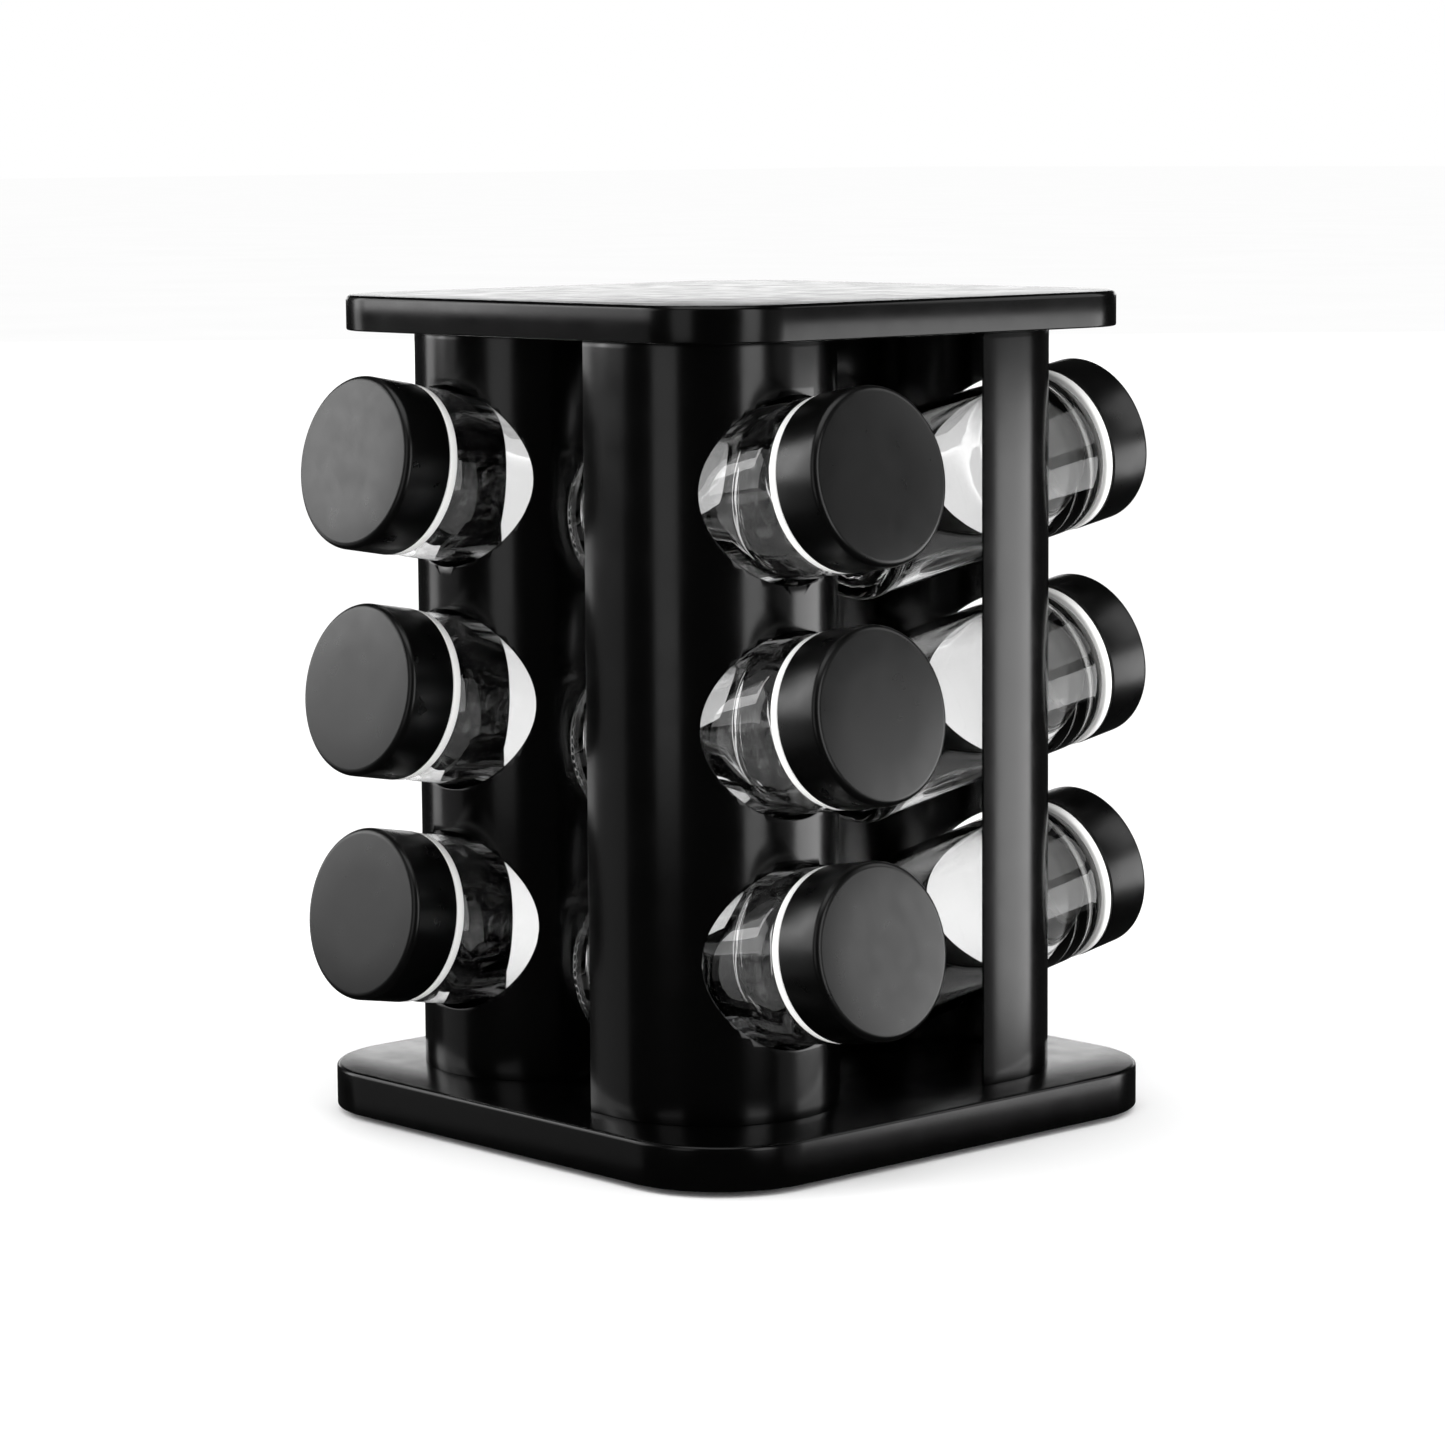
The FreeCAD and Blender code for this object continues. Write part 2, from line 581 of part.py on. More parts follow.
def insert(label):
    """The white insert: a collar round the neck and a plug that closes its mouth."""
    body = new_body(label)
    sketch = new_sketch(body, "Profile", "XZ_Plane")
    bore = "Sizes.neck_radius + Sizes.neck_play"
    skin = "Sizes.insert_top - Sizes.insert_skin"
    plug = f"{skin} - Sizes.plug_depth"
    polygon(sketch, [
        ("0", "Sizes.insert_top"), ("0", skin), ("Sizes.plug_radius - Sizes.plug_wall", skin),
        ("Sizes.plug_radius - Sizes.plug_wall", plug), ("Sizes.plug_radius", plug),
        ("Sizes.plug_radius", skin), (bore, skin), (bore, "Sizes.collar_start"),
        ("Sizes.collar_radius", "Sizes.collar_start"), ("Sizes.collar_radius", "Sizes.collar_end"),
        ("Sizes.sleeve_radius", "Sizes.collar_end"), ("Sizes.sleeve_radius", "Sizes.insert_top")])
    revolve(body, sketch)
    return keep(body, label)


def cap(label):
    """The screw cap: flat top, rounded rim and plain skirt."""
    body = new_body(label)
    sketch = new_sketch(body, "Profile", "XZ_Plane")
    bore = "Sizes.cap_radius - Sizes.cap_wall"
    ceiling = "Sizes.cap_end - Sizes.cap_wall"
    polygon(sketch, [
        ("0", ceiling), (bore, ceiling), (bore, "Sizes.cap_start"),
        ("Sizes.cap_radius", "Sizes.cap_start"), ("Sizes.cap_radius", "Sizes.cap_end"),
        ("0", "Sizes.cap_end")])
    revolve(body, sketch)
    fillet(body, ring_edge(size("Sizes.cap_radius"), size("Sizes.cap_end")), "Sizes.cap_edge")
    return keep(body, label)


def jar(index, side, row, row_name):
    place = jar_placement(index, row)
    for make, word in ((glass, "jar_glass"), (insert, "jar_insert"), (cap, "jar_cap")):
        piece = make(f"{word}_{side}_{row_name}")
        piece.Placement = place


# ---------------------------------------------------------------- building and writing

def check_and_write():
    doc.recompute()
    for obj in doc.Objects:
        bad = {"Invalid", "Error"} & set(obj.State)
        assert not bad, f"{obj.Label} is {bad}"
    os.makedirs("parts", exist_ok=True)
    for obj in sub_parts:
        shape = obj.Shape
        assert not shape.isNull() and shape.isValid(), f"{obj.Label} has no valid shape"
        shape.exportStep(f"parts/{obj.Label}.step")
        print(f"{obj.Label}: {len(shape.Solids)} solid(s), {shape.Volume / 1000:.2f} cm3")


foot_disc()
rubber_feet()
pivot()
bearing()
base_shell()
top_deck()
top_cover()
cover_screws()
for number, side_name in enumerate(SIDES):
    column(number, side_name)
    for row_number, name in enumerate(ROWS):
        jar(number, side_name, row_number, name)
check_and_write()
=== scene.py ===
"""Spice carousel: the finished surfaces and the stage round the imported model.

Laid out as an add-on: each operator makes one kind of piece, in metres, where the frame says.
"""
import bmesh
import bpy
import json
import math
from mathutils import Matrix, Vector


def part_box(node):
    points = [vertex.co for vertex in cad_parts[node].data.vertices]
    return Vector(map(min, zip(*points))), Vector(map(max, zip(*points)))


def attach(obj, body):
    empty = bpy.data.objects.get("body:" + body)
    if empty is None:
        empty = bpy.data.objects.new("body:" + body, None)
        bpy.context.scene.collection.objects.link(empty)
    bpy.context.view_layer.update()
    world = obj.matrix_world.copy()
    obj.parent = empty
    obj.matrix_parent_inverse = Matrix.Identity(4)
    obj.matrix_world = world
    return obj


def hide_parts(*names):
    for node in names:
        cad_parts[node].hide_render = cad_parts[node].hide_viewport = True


bl_info = {
    "name": "Spice carousel",
    "version": (1, 0, 0),
    "blender": (4, 5, 0),
    "location": "View3D > Sidebar > Carousel",
    "description": "Makes a revolving spice stand with tilted glass jars",
    "category": "Object",
}

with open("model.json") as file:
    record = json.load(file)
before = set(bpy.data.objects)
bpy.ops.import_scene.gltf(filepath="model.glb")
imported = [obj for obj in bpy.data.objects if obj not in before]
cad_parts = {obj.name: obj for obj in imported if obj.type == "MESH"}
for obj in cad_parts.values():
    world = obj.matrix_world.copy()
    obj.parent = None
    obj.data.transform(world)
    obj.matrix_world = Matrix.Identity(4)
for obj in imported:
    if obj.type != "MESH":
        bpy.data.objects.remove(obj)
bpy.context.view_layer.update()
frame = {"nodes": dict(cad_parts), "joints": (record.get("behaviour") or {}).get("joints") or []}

MM = 0.001
SIDES = ("front", "right", "back", "left")
ROWS = ("bottom", "middle", "top")
# Beyond this share of a square's half width, |x| + |y| is in a rounded corner's outer edge.
CORNER_REACH = 1.62


# ---------------------------------------------------------------- sizes and colours

def length(name, millimetres, description):
    """A size property, given in millimetres and kept in metres."""
    return bpy.props.FloatProperty(name=name, description=description, default=millimetres * MM,
                                   min=0.0, unit="LENGTH", precision=5)


def hex_colour(name, code, description):
    """A colour property, given and kept as a hex sRGB code."""
    return bpy.props.StringProperty(name=name, description=description, default=code)


class StandSizes(bpy.types.PropertyGroup):
    base_corner: length("Base corner", 31.4, "Corner radius of the base, seen from above")
    base_wall: length("Base wall", 2.4, "Wall of the moulded base")
    base_edge: length("Base edge", 1.2, "Rounding of the base's upper edge")
    top_corner: length("Top corner", 26.2, "Corner radius of the top, seen from above")
    top_wall: length("Top wall", 2.2, "Wall of the moulded top")
    top_edge: length("Top edge", 1.4, "Rounding of the top's upper edge")
    column_offset: length("Column offset", 40.9, "Column's middle line, from the stand's axis")
    nose_centre: length("Nose centre", 36.0, "Centre of a column's rounded nose")
    nose_radius: length("Nose radius", 34.4, "Outer radius of a column's nose")
    leg_end: length("Leg end", 24.1, "Where a column's legs stop")
    sheet: length("Sheet", 0.8, "Thickness of the steel sheet")
    hole_radius: length("Hole radius", 25.2, "Radius of a jar's hole")
    rest_drop: length("Rest drop", 34.5, "How far a jar's rest lies under its hole's middle")
    rest_start: length("Rest start", 25.5, "Nearer edge of a rest, along the leg")
    rest_width: length("Rest width", 9.0, "Width of a rest")
    rest_reach: length("Rest reach", 15.0, "How far a rest stands out from the leg")
    rest_round: length("Rest rounding", 2.0, "Rounding of a rest's free corners")
    window_margin: length("Window margin", 2.0, "How far a window's cutter passes the sheet")
    hole_edge: length("Hole edge", 0.2, "Broken edge round the holes and the sheet")
    cage_half: length("Cage half", 2.8, "From the middle of the balls' path to the cage's edge")
    race_half: length("Race half", 4.0, "Half the width of the ball race")
    groove_half: length("Groove half", 2.4, "Half the width of the balls' groove")
    race_lip: length("Race lip", 0.7, "From the balls' middle up to the race's lip")
    groove_roof: length("Groove roof", 2.3, "From the balls' middle up to the groove's roof")
    hub_radius: length("Hub radius", 7.0, "Radius of the hub under the deck")
    hub_drop: length("Hub drop", 2.2, "How far the hub hangs under the deck")
    bolt_bore: length("Bolt bore", 2.55, "Radius of the pivot bolt's bore")
    bore_cutter: length("Bore cutter", 20.0, "Length of the bore's cutter")
    weld: length("Weld", 0.3, "How far race and hub reach into the deck")


class JarSizes(bpy.types.PropertyGroup):
    set_back: length("Set back", 68.2, "From the column's nose to the jar's bottom, along the jar")
    glass_radius: length("Glass radius", 23.5, "Outer radius of the glass")
    glass_wall: length("Glass wall", 2.3, "Wall of the glass")
    glass_floor: length("Glass floor", 4.5, "Top of the glass's thick floor")
    heel: length("Heel", 2.6, "Rounding of the glass's bottom edge")
    punt_radius: length("Punt radius", 16.5, "Radius of the pushed-up bottom")
    punt_depth: length("Punt depth", 1.2, "Depth of the pushed-up bottom")
    shoulder: length("Shoulder", 77.0, "Where the glass begins to draw in")
    shoulder_radius: length("Shoulder radius", 22.3, "Radius at the top of the shoulder")
    neck_start: length("Neck start", 82.4, "Where the neck begins")
    neck_radius: length("Neck radius", 20.6, "Outer radius of the neck")
    neck_bore: length("Neck bore", 18.2, "Inner radius of the neck")
    glass_top: length("Glass top", 96.6, "Height of the glass")
    collar_radius: length("Collar radius", 23.6, "Radius of the white collar")
    collar_start: length("Collar start", 82.7, "Lower edge of the white collar")
    collar_end: length("Collar end", 85.4, "Upper edge of the white collar")
    collar_round: length("Collar rounding", 0.6, "Rounding of the insert's edges")
    sleeve_radius: length("Sleeve radius", 21.6, "Radius of the sleeve inside the cap")
    insert_top: length("Insert top", 98.0, "Top of the white insert")
    insert_skin: length("Insert skin", 1.1, "Thickness of the insert's top")
    plug_radius: length("Plug radius", 17.9, "Radius of the plug inside the neck")
    plug_wall: length("Plug wall", 0.9, "Wall of the plug")
    plug_depth: length("Plug depth", 3.5, "How far the plug reaches down")
    neck_play: length("Neck play", 0.2, "Gap between neck and insert")
    neck_lip: length("Neck lip", 0.5, "Rounding of the neck's edges")
    neck_fillet: length("Neck fillet", 3.0, "Rounding inside, under the neck")
    ridge: length("Ridge", 0.5, "Height of the ridges under the glass")
    ridge_margin: length("Ridge margin", 0.2, "Gap beside the ridges")
    heel_flat: length("Heel flat", 0.4, "Width of the flat at each side of the ridges")
    cap_radius: length("Cap radius", 23.8, "Outer radius of the cap")
    cap_start: length("Cap start", 85.7, "Lower edge of the cap")
    cap_end: length("Cap end", 100.5, "Flat top of the cap")
    cap_wall: length("Cap wall", 1.6, "Wall of the cap")
    cap_edge: length("Cap edge", 1.9, "Rounding of the cap's rim")
    cap_mouth: length("Cap mouth", 0.3, "Rounding of the cap's open edge")
    cap_ring: length("Cap ring", 12.0, "Radius of the middle ring of the cap's top")
    centre_disc: length("Centre disc", 3.0, "Radius of the disc that closes a turned top")


class FinishColours(bpy.types.PropertyGroup):
    enamel: hex_colour("Enamel", "#020202", "Baked enamel on the columns")
    gloss_abs: hex_colour("Gloss ABS", "#020202", "Polished moulding of base and top")
    dull_abs: hex_colour("Dull ABS", "#1C1C1D", "Unpolished moulding underneath")
    cap_face: hex_colour("Cap face", "#2E2E2E", "Fine-grained top of a cap")
    cap_skirt: hex_colour("Cap skirt", "#040404", "Smooth side of a cap")
    insert: hex_colour("Insert", "#F4F4F2", "White insert")
    glass_tint: hex_colour("Glass tint", "#F4F4F4", "Clear glass")
    zinc: hex_colour("Zinc", "#B9BBBD", "Plated hardware")
    rubber: hex_colour("Rubber", "#222222", "Pads under the foot")
    nylon: hex_colour("Nylon", "#D9D5C8", "Ball cage")
    floor: hex_colour("Floor", "#FFFFFF", "Paper that the stand is on")


class StageSettings(bpy.types.PropertyGroup):
    azimuth: bpy.props.FloatProperty(name="Azimuth", default=math.radians(47.595),
                                     description="Camera's angle round the stand",
                                     subtype="ANGLE")
    elevation: bpy.props.FloatProperty(name="Elevation", default=math.radians(7.352),
                                       description="Camera's angle above the table",
                                       subtype="ANGLE")
    roll: bpy.props.FloatProperty(name="Roll", default=math.radians(0.426),
                                  description="Camera's turn about its own axis",
                                  subtype="ANGLE")
    distance: length("Distance", 1276.4, "From the camera to the stand's middle")
    aim_height: length("Aim height", 116.6, "Height of the point that the camera faces")
    slide_right: bpy.props.FloatProperty(name="Slide right", default=-2.9 * MM, unit="LENGTH",
                                         description="Camera's move along its own right")
    slide_up: bpy.props.FloatProperty(name="Slide up", default=-6.1 * MM, unit="LENGTH",
                                      description="Camera's move along its own up")
    lens: bpy.props.FloatProperty(name="Lens", default=112.65, unit="CAMERA",
                                  description="Focal length in millimetres")


GROUPS = {"carousel_stand": StandSizes, "carousel_jar": JarSizes,
          "carousel_colours": FinishColours, "carousel_stage": StageSettings}


def sizes(name):
    return getattr(bpy.context.scene, "carousel_" + name)


# ---------------------------------------------------------------- materials

def linear(code):
    """A hex sRGB colour as linear RGBA."""
    channels = [int(code[i:i + 2], 16) / 255 for i in (1, 3, 5)]
    return [c / 12.92 if c <= 0.04045 else ((c + 0.055) / 1.055) ** 2.4 for c in channels] + [1.0]


def add_node(tree, kind, settings=None, inputs=None, links=None):
    """Adds a node, sets its properties and sockets, and links sockets to other nodes' outputs."""
    node = tree.nodes.new(kind)
    for key, value in (settings or {}).items():
        setattr(node, key, value)
    for key, value in (inputs or {}).items():
        node.inputs[key].default_value = value
    for key, output in (links or {}).items():
        tree.links.new(output, node.inputs[key])
    return node


def new_material(name, colour, roughness, **sockets):
    """A Principled material with its constant values set on the shader's own sockets."""
    material = bpy.data.materials.new(name)
    material.use_nodes = True
    shader = material.node_tree.nodes["Principled BSDF"]
    shader.inputs["Base Color"].default_value = linear(colour)
    shader.inputs["Roughness"].default_value = roughness
    for key, value in sockets.items():
        shader.inputs[key.replace("_", " ")].default_value = value
    return material


def grain(material, millimetres, depth, detail=2.0, stretch=(1, 1, 1)):
    """Bump from noise whose features are about so many millimetres wide."""
    tree = material.node_tree
    shader = tree.nodes["Principled BSDF"]
    place = add_node(tree, "ShaderNodeTexCoord")
    turned = add_node(tree, "ShaderNodeMapping", inputs={"Scale": stretch},
                      links={"Vector": place.outputs["Object"]})
    noise = add_node(tree, "ShaderNodeTexNoise",
                     inputs={"Scale": 1 / (millimetres * MM), "Detail": detail},
                     links={"Vector": turned.outputs["Vector"]})
    bump = add_node(tree, "ShaderNodeBump", inputs={"Strength": 1.0, "Distance": depth * MM},
                    links={"Height": noise.outputs["Fac"]})
    tree.links.new(bump.outputs["Normal"], shader.inputs["Normal"])


def vary(material, socket, low, high, millimetres):
    """Lets a shader's number or colour wander between two over patches of a real size."""
    tree = material.node_tree
    shader = tree.nodes["Principled BSDF"]
    place = add_node(tree, "ShaderNodeTexCoord")
    noise = add_node(tree, "ShaderNodeTexNoise",
                     inputs={"Scale": 1 / (millimetres * MM), "Detail": 3.0},
                     links={"Vector": place.outputs["Object"]})
    if socket == "Base Color":
        colour_a, colour_b, colour_out = 6, 7, 2
        mix = add_node(tree, "ShaderNodeMix", {"data_type": "RGBA"},
                       {colour_a: linear(low), colour_b: linear(high)},
                       {"Factor": noise.outputs["Fac"]})
        tree.links.new(mix.outputs[colour_out], shader.inputs[socket])
        return
    span = add_node(tree, "ShaderNodeMapRange",
                    inputs={"From Min": 0.3, "From Max": 0.7, "To Min": low, "To Max": high},
                    links={"Value": noise.outputs["Fac"]})
    tree.links.new(span.outputs["Result"], shader.inputs[socket])


def make_materials():
    colours = sizes("colours")
    # Baked black enamel on sheet steel: a hard gloss film with faint orange peel.
    enamel = new_material("baked_enamel", colours.enamel, 0.18)
    grain(enamel, 1.6, 0.004)
    vary(enamel, "Roughness", 0.16, 0.21, 12)
    # Polished ABS moulding: a satin shine, with slight shrink ripples.
    gloss = new_material("polished_abs", colours.gloss_abs, 0.2, Specular_IOR_Level=0.35)
    grain(gloss, 18, 0.006)
    vary(gloss, "Roughness", 0.18, 0.23, 9)
    # Unpolished ABS: the tool's spark texture.
    dull = new_material("spark_textured_abs", colours.dull_abs, 0.6)
    grain(dull, 0.7, 0.03)
    # Moulded polypropylene cap, its face etched to a fine grain.
    face = new_material("etched_cap_face", colours.cap_face, 0.65, Specular_IOR_Level=0.4)
    grain(face, 0.6, 0.02, 3)
    vary(face, "Base Color", "#2C2C2C", "#333333", 5)
    # The cap's skirt is smooth.
    skirt = new_material("smooth_cap_skirt", colours.cap_skirt, 0.3)
    grain(skirt, 4, 0.003)
    vary(skirt, "Roughness", 0.27, 0.33, 6)
    # Low-density polyethylene insert: smooth, milky, softly shining.
    insert = new_material("white_polyethylene", colours.insert, 0.3, Subsurface_Weight=0.15,
                          Subsurface_Radius=(0.002, 0.002, 0.002))
    grain(insert, 2, 0.004)
    vary(insert, "Base Color", "#F0F0EE", "#FAFAF8", 8)
    # Pressed soda-lime glass: clear, with the ripple that its mould leaves.
    glass = new_material("soda_lime_glass", colours.glass_tint, 0.0, IOR=1.5,
                         Transmission_Weight=1.0)
    grain(glass, 11, 0.02, 1)
    # Zinc-plated steel: fine turning marks.
    zinc = new_material("zinc_plate", colours.zinc, 0.32, Metallic=1.0)
    grain(zinc, 0.5, 0.006, 2, (1, 1, 0.2))
    vary(zinc, "Roughness", 0.28, 0.4, 2)
    # Rubber pads.
    rubber = new_material("moulded_rubber", colours.rubber, 0.8)
    grain(rubber, 0.6, 0.04)
    # Natural nylon.
    nylon = new_material("natural_nylon", colours.nylon, 0.45)
    grain(nylon, 1.5, 0.01)
    vary(nylon, "Base Color", "#D4D0C2", "#DEDACE", 6)


def finish_with(obj, *names):
    """Gives an object these materials, in order."""
    obj.data.materials.clear()
    for name in names:
        obj.data.materials.append(bpy.data.materials[name])


# ---------------------------------------------------------------- modelling helpers

def only(obj):
    """Makes obj the one selected and active object."""
    bpy.ops.object.select_all(action="DESELECT")
    obj.select_set(True)
    bpy.context.view_layer.objects.active = obj


def edit(obj, mode="VERT"):
    only(obj)
    bpy.ops.object.mode_set(mode="EDIT")
    bpy.ops.mesh.select_mode(type=mode)


def leave():
    bpy.ops.object.mode_set(mode="OBJECT")


def pick(obj, kind, wanted):
    """Selects, in edit mode, just the vertices, edges or faces that wanted() accepts."""
    bpy.ops.mesh.select_all(action="DESELECT")
    mesh = bmesh.from_edit_mesh(obj.data)
    for item in getattr(mesh, kind):
        if wanted(item):
            item.select_set(True)
    mesh.select_flush_mode()
    bmesh.update_edit_mesh(obj.data)


def middle(item):
    """The middle of an edge."""
    return (item.verts[0].co + item.verts[1].co) / 2


def modify(obj, kind, **settings):
    """Adds a modifier and applies it."""
    only(obj)
    modifier = obj.modifiers.new(kind.lower(), kind)
    for key, value in settings.items():
        setattr(modifier, key, value)
    bpy.ops.object.modifier_apply(modifier=modifier.name)


def subtract(obj, cutters):
    """Cuts a list of closed objects out of obj, and removes them."""
    only(cutters[0])
    for other in cutters:
        other.select_set(True)
    bpy.ops.object.join()
    tool = bpy.context.active_object
    modify(obj, "BOOLEAN", operation="DIFFERENCE", object=tool, solver="EXACT", use_self=True)
    only(tool)
    bpy.ops.object.delete()


def smooth(obj, degrees=35):
    only(obj)
    bpy.ops.object.shade_smooth_by_angle(angle=math.radians(degrees))


def apply_place(obj):
    only(obj)
    bpy.ops.object.transform_apply(location=True, rotation=True, scale=True)


def join(parts):
    only(parts[0])
    for part in parts:
        part.select_set(True)
    bpy.ops.object.join()
    return bpy.context.active_object


def mesh_normals(obj):
    """Merges doubles and turns every face outwards."""
    edit(obj)
    bpy.ops.mesh.select_all(action="SELECT")
    bpy.ops.mesh.remove_doubles(threshold=1e-6)
    bpy.ops.mesh.normals_make_consistent(inside=False)
    leave()


def arc(x, z, radius, start, end, steps):
    """Points on an arc, as (radius, height) pairs. Angles are in degrees."""
    turns = [math.radians(start + (end - start) * i / steps) for i in range(steps + 1)]
    return [(x + radius * math.cos(a), z + radius * math.sin(a)) for a in turns]


def lathe(name, profile, segments, closed=False):
    """Turns a profile of (radius, height) pairs, ring by ring.

    A closed profile comes back to its first ring; an open one ends in a flat face at each end.
    """
    radius, height = profile[0]
    bpy.ops.mesh.primitive_circle_add(vertices=segments, radius=radius, location=(0, 0, 0))
    obj = bpy.context.active_object
    obj.name = name
    edit(obj)
    bpy.ops.mesh.select_all(action="SELECT")
    bpy.ops.transform.translate(value=(0, 0, height))
    if not closed:
        bpy.ops.mesh.edge_face_add()
        bpy.ops.mesh.select_mode(type="EDGE")
        bpy.ops.mesh.select_all(action="SELECT")
    rings = profile[1:] + (profile[:1] if closed else [])
    for next_radius, next_height in rings:
        bpy.ops.mesh.extrude_edges_move(
            TRANSFORM_OT_translate={"value": (0, 0, next_height - height)})
        factor = next_radius / radius
        bpy.ops.transform.resize(value=(factor, factor, 1), center_override=(0, 0, next_height))
        radius, height = next_radius, next_height
    if not closed:
        bpy.ops.mesh.edge_face_add()
    leave()
    mesh_normals(obj)
    return obj


def rounded_square(name, side, corner, bottom, height, steps=24):
    """A square slab with rounded upright corners."""
    bpy.ops.mesh.primitive_plane_add(size=side, location=(0, 0, 0))
    obj = bpy.context.active_object
    obj.name = name
    edit(obj)
    bpy.ops.mesh.select_all(action="SELECT")
    bpy.ops.mesh.bevel(offset=corner, segments=steps, affect="VERTICES")
    bpy.ops.mesh.select_all(action="SELECT")
    bpy.ops.transform.translate(value=(0, 0, bottom))
    bpy.ops.mesh.extrude_region_move(TRANSFORM_OT_translate={"value": (0, 0, height)})
    leave()
    mesh_normals(obj)
    return obj


def tray(name, node, corner, wall, edge):
    """A moulded tray that opens downwards, as large as its node's box."""
    low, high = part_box(node)
    obj = rounded_square(name, high.x - low.x, corner, low.z, high.z - low.z)
    return hollow(obj, low.z, high.z, wall, edge)


def hollow(obj, bottom, top, wall, edge):
    """Hollows a slab from below and rounds its edges."""
    edit(obj, "FACE")
    pick(obj, "faces", lambda f: f.normal.z < -0.9)
    bpy.ops.mesh.inset(thickness=wall, depth=0)
    bpy.ops.mesh.extrude_region_move(
        TRANSFORM_OT_translate={"value": (0, 0, top - bottom - wall)})
    bpy.ops.mesh.select_mode(type="EDGE")
    pick(obj, "edges", lambda e: all(abs(v.co.z - top) < 1e-6 for v in e.verts))
    bpy.ops.mesh.bevel(offset=edge, segments=6, affect="EDGES")
    outline = wall * 0.5
    half = max(v.co.x for v in bmesh.from_edit_mesh(obj.data).verts)
    pick(obj, "edges", lambda e: all(abs(v.co.z - bottom) < 1e-6 for v in e.verts)
         and on_outline(middle(e), half, outline))
    bpy.ops.mesh.bevel(offset=edge * 0.4, segments=3, affect="EDGES")
    leave()
    mesh_normals(obj)
    return obj


def on_outline(point, half, margin):
    """True near the outer edge of a rounded square that is half wide each way."""
    at_side = max(abs(point.x), abs(point.y)) > half - margin
    at_corner = abs(point.x) + abs(point.y) > half * CORNER_REACH
    return at_side or at_corner


def quarter_turns(obj, count):
    """Turns an object about the stand's axis and keeps the turn in its mesh."""
    obj.rotation_euler = (0, 0, math.radians(90 * count))
    apply_place(obj)


def copy_of(obj, name):
    only(obj)
    bpy.ops.object.duplicate(linked=False)
    twin = bpy.context.active_object
    twin.name = name
    return twin


def cylinder_along_x(radius, depth, place, segments=192):
    bpy.ops.mesh.primitive_cylinder_add(vertices=segments, radius=radius, depth=depth,
                                        location=place, rotation=(0, math.radians(90), 0))
    return bpy.context.active_object


def block(low, high):
    """A cube stretched between two corners."""
    low, high = Vector(low), Vector(high)
    bpy.ops.mesh.primitive_cube_add(size=1, location=(low + high) / 2)
    obj = bpy.context.active_object
    obj.scale = high - low
    apply_place(obj)
    return obj


def jar_joint(label):
    return next(j for j in frame["joints"] if j["name"] == "cap_turn_" + label)


def jar_matrix(label):
    """Where a jar modelled upright on its bottom goes."""
    joint = jar_joint(label)
    axis = Vector(joint["axis"]).normalized()
    bottom = Vector(joint["pos_m"]) - axis * sizes("jar").set_back
    turn = Vector((0, 0, 1)).rotation_difference(axis).to_matrix().to_4x4()
    return Matrix.Translation(bottom) @ turn


def labels():
    return [f"{side}_{row}" for side in SIDES for row in ROWS]


def set_out(master, kind, body, slot, *materials):
    """Copies a finished jar piece to all its places and removes the first."""
    finish_with(master, *materials)
    for label in labels():
        piece = copy_of(master, f"{kind}_{label}_shown")
        piece.matrix_world = jar_matrix(label)
        apply_place(piece)
        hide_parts(f"{kind}_{label}")
        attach(piece, f"{body}_{label}")
    only(master)
    bpy.ops.object.delete()


# ---------------------------------------------------------------- operators

class CAROUSEL_OT_materials(bpy.types.Operator):
    """Make the finishes"""
    bl_idname = "carousel.materials"
    bl_label = "Finishes"

    def execute(self, context):
        make_materials()
        return {"FINISHED"}


